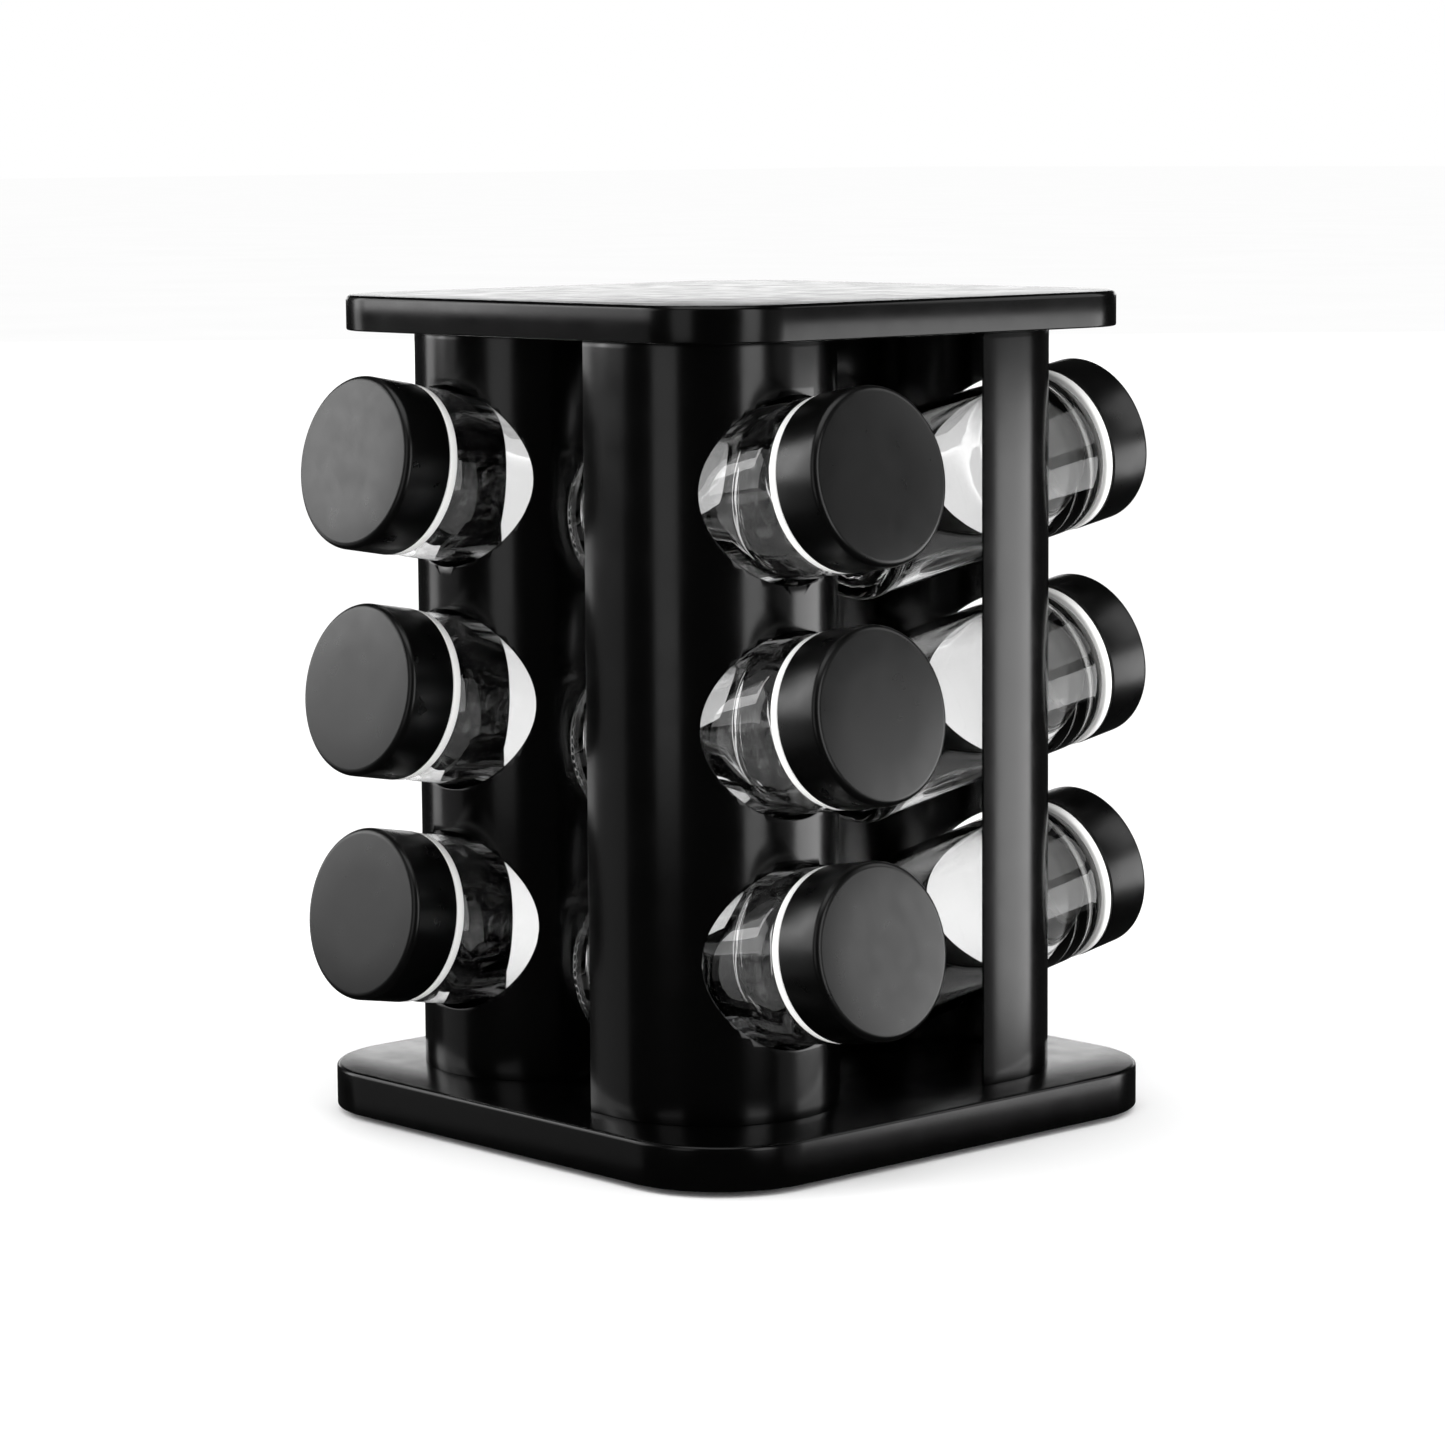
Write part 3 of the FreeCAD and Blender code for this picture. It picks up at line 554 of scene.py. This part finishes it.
class CAROUSEL_OT_columns(bpy.types.Operator):
    """Bend four steel sheets with a round hole for each jar"""
    bl_idname = "carousel.columns"
    bl_label = "Columns"

    def execute(self, context):
        size = sizes("stand")
        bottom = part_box("base_shell")[1].z
        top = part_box("top_deck")[0].z
        sheet = self.bent_sheet(size, bottom, top)
        self.pierce(sheet, size)
        sheet = join([sheet] + self.rests(size))
        smooth(sheet, 30)
        for number, side in enumerate(SIDES):
            node = "column_" + side
            column = copy_of(sheet, node + "_shown")
            quarter_turns(column, number)
            finish_with(column, "baked_enamel")
            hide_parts(node)
            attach(column, "carousel")
        only(sheet)
        bpy.ops.object.delete()
        return {"FINISHED"}

    @staticmethod
    def bent_sheet(size, bottom, top):
        """The front column's sheet before its holes are cut."""
        steps = 96
        centre = Vector((size.nose_centre, -size.column_offset, bottom))
        bpy.ops.mesh.primitive_circle_add(vertices=2 * steps, radius=size.nose_radius,
                                          location=centre)
        sheet = bpy.context.active_object
        apply_place(sheet)
        edit(sheet)
        pick(sheet, "verts", lambda v: v.co.x < centre.x - 1e-6)
        bpy.ops.mesh.delete(type="VERT")
        flat = size.nose_centre - size.leg_end
        pick(sheet, "verts", lambda v: v.co.x < centre.x + 1e-6)
        bpy.ops.mesh.extrude_vertices_move(TRANSFORM_OT_translate={"value": (-flat, 0, 0)})
        bpy.ops.mesh.select_mode(type="EDGE")
        bpy.ops.mesh.select_all(action="SELECT")
        lifts = 80
        for _ in range(lifts):
            bpy.ops.mesh.extrude_edges_move(
                TRANSFORM_OT_translate={"value": (0, 0, (top - bottom) / lifts)})
        bpy.ops.mesh.select_all(action="SELECT")
        bpy.ops.mesh.normals_make_consistent(inside=False)
        leave()
        modify(sheet, "SOLIDIFY", thickness=size.sheet, offset=-1, use_even_offset=True)
        widest = max(v.co.x for v in sheet.data.vertices)
        if widest > size.nose_centre + size.nose_radius + 1e-5:
            raise RuntimeError("the sheet thickened outwards")
        mesh_normals(sheet)
        return sheet

    @staticmethod
    def pierce(sheet, size):
        """Cuts the jars' holes, and the windows that the rests are lanced from."""
        cutters = []
        leg = -size.column_offset + size.nose_radius
        for row in ROWS:
            height = jar_joint("front_" + row)["pos_m"][2]
            reach = size.nose_radius * 2
            place = (size.nose_centre + reach / 2, -size.column_offset, height)
            cutters.append(cylinder_along_x(size.hole_radius, reach, place))
            top = height - size.rest_drop
            cutters.append(block((size.rest_start, leg - size.window_margin, top),
                                 (size.rest_start + size.rest_width, leg + size.window_margin,
                                  top + size.rest_reach)))
        subtract(sheet, cutters)
        modify(sheet, "BEVEL", width=size.hole_edge, segments=2, limit_method="ANGLE",
               angle_limit=math.radians(60), use_clamp_overlap=False)

    @staticmethod
    def rests(size):
        """The lanced strips that carry the next column's jars."""
        strips = []
        leg = -size.column_offset + size.nose_radius
        for row in ROWS:
            top = jar_joint("front_" + row)["pos_m"][2] - size.rest_drop
            strip = block((size.rest_start, leg - size.sheet, top - size.sheet),
                          (size.rest_start + size.rest_width, leg + size.rest_reach, top))
            edit(strip, "EDGE")
            pick(strip, "edges", lambda e: middle(e).y > leg + size.rest_reach * 0.9
                 and abs(e.verts[0].co.z - e.verts[1].co.z) > 1e-5)
            bpy.ops.mesh.bevel(offset=size.rest_round, segments=6, affect="EDGES")
            leave()
            strips.append(strip)
        return strips


class CAROUSEL_OT_base(bpy.types.Operator):
    """Mould the base with its hub and ball race"""
    bl_idname = "carousel.base"
    bl_label = "Base"

    def execute(self, context):
        size = sizes("stand")
        base = tray("base_shell_shown", "base_shell", size.base_corner, size.base_wall,
                    size.base_edge)
        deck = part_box("base_shell")[1].z - size.base_wall
        balls_low, balls_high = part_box("bearing_balls")
        balls_middle = (balls_low.z + balls_high.z) / 2
        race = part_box("ball_cage")[1].x - size.cage_half
        inner, outer = race - size.race_half, race + size.race_half
        groove_in, groove_out = race - size.groove_half, race + size.groove_half
        lip, roof = balls_middle + size.race_lip, balls_middle + size.groove_roof
        sunk = deck + size.weld
        ring = lathe("race", [
            (inner, sunk), (inner, lip), (groove_in, lip), (groove_in, roof),
            (groove_out, roof), (groove_out, lip), (outer, lip), (outer, sunk)],
            96, closed=True)
        hub_bottom = deck - size.hub_drop
        hub = lathe("hub", [
            (size.bolt_bore, sunk), (size.bolt_bore, hub_bottom),
            (size.hub_radius, hub_bottom), (size.hub_radius, sunk)], 64, closed=True)
        bpy.ops.mesh.primitive_cylinder_add(vertices=64, radius=size.bolt_bore,
                                            depth=size.bore_cutter, location=(0, 0, deck))
        subtract(base, [bpy.context.active_object])
        base = join([base, ring, hub])
        base.name = "base_shell_shown"
        smooth(base)
        finish_with(base, "polished_abs")
        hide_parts("base_shell")
        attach(base, "carousel")
        return {"FINISHED"}


class CAROUSEL_OT_top(bpy.types.Operator):
    """Mould the top cover"""
    bl_idname = "carousel.top"
    bl_label = "Top cover"

    def execute(self, context):
        size = sizes("stand")
        cover = tray("top_cover_shown", "top_cover", size.top_corner, size.top_wall,
                     size.top_edge)
        smooth(cover)
        finish_with(cover, "polished_abs")
        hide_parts("top_cover")
        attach(cover, "carousel")
        return {"FINISHED"}


class CAROUSEL_OT_glasses(bpy.types.Operator):
    """Press the glass jars"""
    bl_idname = "carousel.glasses"
    bl_label = "Glass jars"

    def execute(self, context):
        size = sizes("jar")
        heel = size.heel
        bore = size.glass_radius - size.glass_wall
        hub = size.punt_radius * 0.2
        profile = [(hub, size.punt_depth), (size.punt_radius * 0.6, size.punt_depth),
                   (size.punt_radius, size.punt_depth), (size.punt_radius + size.punt_depth, 0),
                   (size.punt_radius + size.punt_depth + size.heel_flat, 0),
                   (size.glass_radius - heel - size.heel_flat, 0)]
        profile += arc(size.glass_radius - heel, heel, heel, -90, 0, 8)
        profile += [(size.glass_radius, size.shoulder * f) for f in (0.2, 0.4, 0.6, 0.8)]
        drop = size.neck_start - size.shoulder
        draw_in = size.glass_radius - size.shoulder_radius
        curve = (draw_in ** 2 + drop ** 2) / (2 * draw_in)
        sweep = math.degrees(math.asin(drop / curve))
        profile += arc(size.glass_radius - curve, size.shoulder, curve, 0, sweep, 8)
        lip = size.neck_lip
        profile += [(size.neck_radius + lip, size.neck_start),
                    (size.neck_radius, size.neck_start + lip),
                    (size.neck_radius, size.glass_top - lip),
                    (size.neck_radius - lip, size.glass_top),
                    (size.neck_bore + lip, size.glass_top),
                    (size.neck_bore, size.glass_top - lip), (size.neck_bore, size.neck_start)]
        fillet = size.neck_fillet
        profile += arc(size.neck_bore + fillet, size.neck_start - 0.01 * MM, fillet,
                       180, 200, 3)[1:]
        profile += [(bore, size.shoulder - 1 * MM)]
        profile += [(bore, size.shoulder * f) for f in (0.8, 0.6, 0.4, 0.2)]
        profile += arc(bore - heel, size.glass_floor + heel, heel, 0, -90, 8)
        profile += [(size.punt_radius * 0.6, size.glass_floor), (hub, size.glass_floor)]
        segments = 120
        glass = lathe("glass", profile, segments)
        self.knurl(glass, size, segments)
        smooth(glass, 40)
        set_out(glass, "jar_glass", "jar", "clear_glass", "soda_lime_glass")
        return {"FINISHED"}

    @staticmethod
    def knurl(glass, size, segments):
        """Raises every other spoke of the standing ring into a small ridge."""
        step = 2 * math.pi / segments
        inner = size.punt_radius + size.punt_depth + size.ridge_margin
        outer = size.glass_radius - size.heel - size.ridge_margin

        def on_ridge(vertex):
            radius = math.hypot(vertex.co.x, vertex.co.y)
            spoke = round(math.atan2(vertex.co.y, vertex.co.x) / step)
            return inner < radius < outer and abs(vertex.co.z) < 1e-6 and spoke % 2

        edit(glass)
        pick(glass, "verts", on_ridge)
        bpy.ops.transform.translate(value=(0, 0, size.ridge))
        leave()


class CAROUSEL_OT_inserts(bpy.types.Operator):
    """Mould the white inserts that ring and close the jars' necks"""
    bl_idname = "carousel.inserts"
    bl_label = "Inserts"

    def execute(self, context):
        size = sizes("jar")
        bore = size.neck_radius + size.neck_play
        skin = size.insert_top - size.insert_skin
        plug = skin - size.plug_depth
        plug_bore = size.plug_radius - size.plug_wall
        round_off = size.collar_round
        profile = [(size.centre_disc, size.insert_top),
                   (size.sleeve_radius - round_off, size.insert_top)]
        profile += arc(size.sleeve_radius - round_off, size.insert_top - round_off, round_off,
                       90, 0, 4)[1:]
        profile += [(size.sleeve_radius, size.collar_end)]
        profile += arc(size.collar_radius - round_off, size.collar_end - round_off, round_off,
                       90, 0, 5)
        profile += arc(size.collar_radius - round_off, size.collar_start + round_off, round_off,
                       0, -90, 5)
        profile += [(bore, size.collar_start), (bore, skin), (size.plug_radius, skin),
                    (size.plug_radius, plug), (plug_bore, plug), (plug_bore, skin),
                    (size.centre_disc, skin)]
        insert = lathe("insert", profile, 96)
        smooth(insert)
        set_out(insert, "jar_insert", "jar", "white_plastic", "white_polyethylene")
        return {"FINISHED"}


class CAROUSEL_OT_caps(bpy.types.Operator):
    """Mould the screw caps"""
    bl_idname = "carousel.caps"
    bl_label = "Caps"

    def execute(self, context):
        size = sizes("jar")
        bore = size.cap_radius - size.cap_wall
        ceiling = size.cap_end - size.cap_wall
        edge = size.cap_edge
        small = size.cap_mouth
        profile = [(size.centre_disc, size.cap_end), (size.cap_ring, size.cap_end)]
        profile += arc(size.cap_radius - edge, size.cap_end - edge, edge, 90, 0, 8)
        profile += [(size.cap_radius, size.cap_start + small)]
        profile += arc(size.cap_radius - small, size.cap_start + small, small, 0, -90, 3)[1:]
        profile += [(bore, size.cap_start), (bore, ceiling), (size.cap_ring, ceiling),
                    (size.centre_disc, ceiling)]
        cap = lathe("cap", profile, 128)
        smooth(cap, 40)
        finish_with(cap, "smooth_cap_skirt", "etched_cap_face")
        edit(cap, "FACE")
        pick(cap, "faces", lambda f: f.normal.z > 0.93 and f.calc_center_median().z > ceiling)
        cap.active_material_index = 1
        bpy.ops.object.material_slot_assign()
        leave()
        set_out(cap, "jar_cap", "cap", "cap_plastic", "smooth_cap_skirt", "etched_cap_face")
        return {"FINISHED"}


class CAROUSEL_OT_hardware(bpy.types.Operator):
    """Finish the pieces of the turntable and the deck in the top"""
    bl_idname = "carousel.hardware"
    bl_label = "Turntable and deck"

    def execute(self, context):
        finishes = {"foot_disc": "spark_textured_abs", "top_deck": "spark_textured_abs",
                    "rubber_feet": "moulded_rubber", "ball_cage": "natural_nylon",
                    "pivot_bolt": "zinc_plate", "pivot_washer": "zinc_plate",
                    "pivot_nut": "zinc_plate", "bearing_balls": "zinc_plate",
                    "cover_screws": "zinc_plate"}
        for node, material in finishes.items():
            finish_with(frame["nodes"][node], material)
        hidden = {"base_shell": "polished_abs", "top_cover": "polished_abs"}
        for side in SIDES:
            hidden["column_" + side] = "baked_enamel"
        for label in labels():
            hidden["jar_glass_" + label] = "soda_lime_glass"
            hidden["jar_insert_" + label] = "white_polyethylene"
            hidden["jar_cap_" + label] = "smooth_cap_skirt"
        for node, material in hidden.items():
            finish_with(frame["nodes"][node], material)
        return {"FINISHED"}


class CAROUSEL_OT_stage(bpy.types.Operator):
    """Set the floor, the lights and the camera"""
    bl_idname = "carousel.stage"
    bl_label = "Stage"

    def execute(self, context):
        self.floor()
        self.lights()
        self.surroundings(context.scene)
        self.camera(context.scene)
        context.scene.view_settings.view_transform = "Standard"
        return {"FINISHED"}

    @staticmethod
    def floor():
        bpy.ops.mesh.primitive_plane_add(size=60, location=(0, 0, 0))
        floor = bpy.context.active_object
        floor.name = "floor"
        floor.visible_glossy = False
        paper = new_material("white_paper", sizes("colours").floor, 1.0, Specular_IOR_Level=0.0)
        vary(paper, "Base Color", "#FAFAFA", "#FFFFFF", 300)
        finish_with(floor, "white_paper")

    @staticmethod
    def softbox(name, place, aim, width, height, radiance):
        """A lamp that only reflections and shadows show, as bright all over as radiance says."""
        bpy.ops.object.light_add(type="AREA", location=place)
        lamp = bpy.context.active_object
        lamp.name = name
        lamp.rotation_euler = (Vector(aim) - Vector(place)).to_track_quat("-Z", "Y").to_euler()
        lamp.visible_camera = False
        lamp.visible_transmission = False
        lamp.data.shape = "RECTANGLE"
        lamp.data.size = width
        lamp.data.size_y = height
        lamp.data.energy = radiance * math.pi * width * height

    def lights(self):
        self.softbox("box_right_low", (0.385, 0.43, 0.05), (0.07, 0.04, 0.05), 0.36, 0.25, 3.4)
        self.softbox("box_right_high", (0.34, 0.468, 0.46), (0.06, 0, 0.25), 0.3, 0.36, 1.3)
        self.softbox("box_right", (0.66, -0.085, 0.27), (0.07, -0.04, 0.27), 0.21, 0.6, 2.4)
        self.softbox("box_left", (-0.61, -0.27, 0.27), (-0.05, -0.07, 0.27), 0.16, 0.6, 1.5)
        self.softbox("box_left_far", (-2.05, -1.5, 0.9), (-0.04, -0.11, 0.1), 2.2, 1.6, 1.8)
        self.softbox("box_left_front", (-0.515, -0.448, 0.512), (-0.402, 0.04, 0.512),
                     0.104, 0.6, 4)
        self.softbox("card_left", (-0.66, -0.62, -0.08), (0, -0.08, 0.04), 0.5, 0.4, 0.2)
        self.softbox("card_front", (0.13, -0.67, 0.3), (0.02, -0.07, 0.2), 0.26, 0.6, 0.75)
        self.softbox("card_right", (0.7, 0.6, 0.1), (0.08, 0.03, 0.16), 0.9, 0.7, 0.2)
        self.softbox("strip_behind", (-3.7, 3.4, 0.6), (0, 0, 0.23), 5, 0.8, 1.9)
        self.softbox("box_above", (0.1, -0.2, 0.9), (0, 0, 0.12), 0.7, 0.7, 1.3)

    @staticmethod
    def surroundings(scene):
        """White all round, a little dimmer through glass, and dark where the gloss mirrors it."""
        world = bpy.data.worlds.new("studio")
        scene.world = world
        world.use_nodes = True
        tree = world.node_tree
        ray = add_node(tree, "ShaderNodeLightPath")
        mirrored = add_node(tree, "ShaderNodeMath", {"operation": "SUBTRACT", "use_clamp": True},
                            links={0: ray.outputs["Is Glossy Ray"],
                                   1: ray.outputs["Is Transmission Ray"]})
        flagged = add_node(tree, "ShaderNodeMath", {"operation": "MULTIPLY_ADD"},
                           inputs={1: -0.98, 2: 1.0}, links={0: mirrored.outputs[0]})
        dimmed = add_node(tree, "ShaderNodeMath", {"operation": "MULTIPLY_ADD"},
                          inputs={1: -0.35}, links={0: ray.outputs["Is Transmission Ray"],
                                                   2: flagged.outputs[0]})
        white = tree.nodes["Background"]
        white.inputs["Color"].default_value = (1, 1, 1, 1)
        tree.links.new(dimmed.outputs[0], white.inputs["Strength"])

    @staticmethod
    def camera(scene):
        stage = sizes("stage")
        sin_a, cos_a = math.sin(stage.azimuth), math.cos(stage.azimuth)
        sin_e, cos_e = math.sin(stage.elevation), math.cos(stage.elevation)
        back = Vector((sin_a * cos_e, -cos_a * cos_e, sin_e))
        right = Vector((cos_a, sin_a, 0))
        up = back.cross(right)
        turned_right = right * math.cos(stage.roll) - up * math.sin(stage.roll)
        turned_up = right * math.sin(stage.roll) + up * math.cos(stage.roll)
        place = (Vector((0, 0, stage.aim_height)) + back * stage.distance
                 + turned_right * stage.slide_right + turned_up * stage.slide_up)
        bpy.ops.object.camera_add(location=place)
        camera = bpy.context.active_object
        axes = Matrix((turned_right, turned_up, back)).transposed()
        camera.rotation_euler = axes.to_euler()
        camera.data.lens = stage.lens
        camera.data.sensor_width = 36
        scene.camera = camera


class CAROUSEL_PT_panel(bpy.types.Panel):
    bl_idname = "CAROUSEL_PT_panel"
    bl_label = "Spice carousel"
    bl_space_type = "VIEW_3D"
    bl_region_type = "UI"
    bl_category = "Carousel"

    def draw(self, context):
        for operator in STEPS:
            self.layout.operator(operator.bl_idname)
        for group in GROUPS:
            box = self.layout.box()
            settings = getattr(context.scene, group)
            for key in settings.__annotations__:
                box.prop(settings, key)


STEPS = (CAROUSEL_OT_materials, CAROUSEL_OT_columns, CAROUSEL_OT_base, CAROUSEL_OT_top,
         CAROUSEL_OT_glasses, CAROUSEL_OT_inserts, CAROUSEL_OT_caps, CAROUSEL_OT_hardware,
         CAROUSEL_OT_stage)
CLASSES = tuple(GROUPS.values()) + STEPS + (CAROUSEL_PT_panel,)


def register():
    for cls in CLASSES:
        bpy.utils.register_class(cls)
    for name, group in GROUPS.items():
        setattr(bpy.types.Scene, name, bpy.props.PointerProperty(type=group))


def unregister():
    for name in GROUPS:
        delattr(bpy.types.Scene, name)
    for cls in reversed(CLASSES):
        bpy.utils.unregister_class(cls)


def main():
    register()
    for operator in STEPS:
        group, name = operator.bl_idname.split(".")
        getattr(getattr(bpy.ops, group), name)()


if __name__ == "__main__":
    main()
